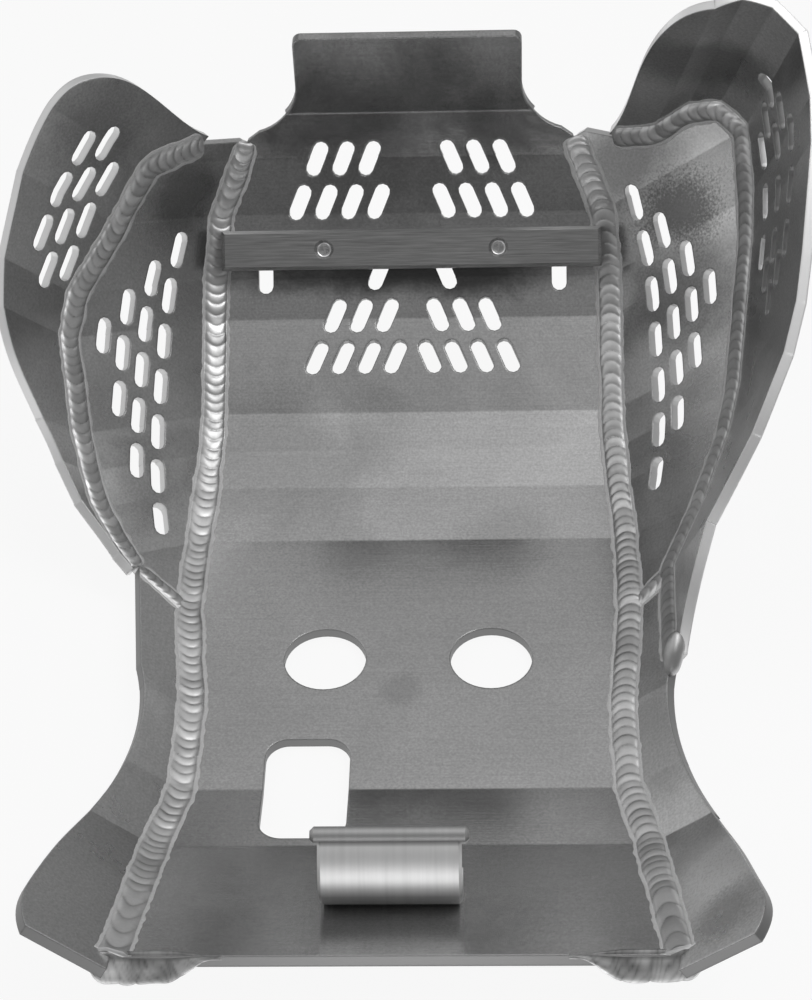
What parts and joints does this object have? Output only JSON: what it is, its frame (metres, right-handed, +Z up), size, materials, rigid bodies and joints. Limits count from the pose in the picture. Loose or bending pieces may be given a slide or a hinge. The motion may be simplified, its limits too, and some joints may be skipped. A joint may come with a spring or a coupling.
{
  "type": "motorcycle skid plate",
  "caption": "Motorcycle skid plate welded from folded aluminium plate: a slotted scoop with flared side wings, drain holes, a cross bar with tapped holes and a rear frame hook.",
  "frame": {"origin": "middle of the flat underside of the pan's floor", "axes": "+X to the motorcycle's right, +Y to its front, +Z up towards the engine"},
  "size_m": [0.3684, 0.4444, 0.2296],
  "materials": {
    "mill_plate": "satin mill finish with fine rolling grain",
    "flat_bar": "satin extruded bar",
    "polished_hook": "polished",
    "weld_bead": "as welded, rippled"
  },
  "bodies": {
    "root": {"pan": "mill_plate", "left_side_panel": "mill_plate", "right_side_panel": "mill_plate", "left_wing": "mill_plate", "right_wing": "mill_plate", "left_rear_flare": "mill_plate", "right_rear_flare": "mill_plate", "cross_bar": "flat_bar", "rear_hook": "polished_hook", "left_pan_weld": "weld_bead", "right_pan_weld": "weld_bead", "left_wing_weld": "weld_bead", "right_wing_weld": "weld_bead", "left_flare_weld": "weld_bead", "right_flare_weld": "weld_bead", "left_corner_weld": "weld_bead", "right_corner_weld": "weld_bead", "hook_weld": "weld_bead"}
  },
  "joints": []
}
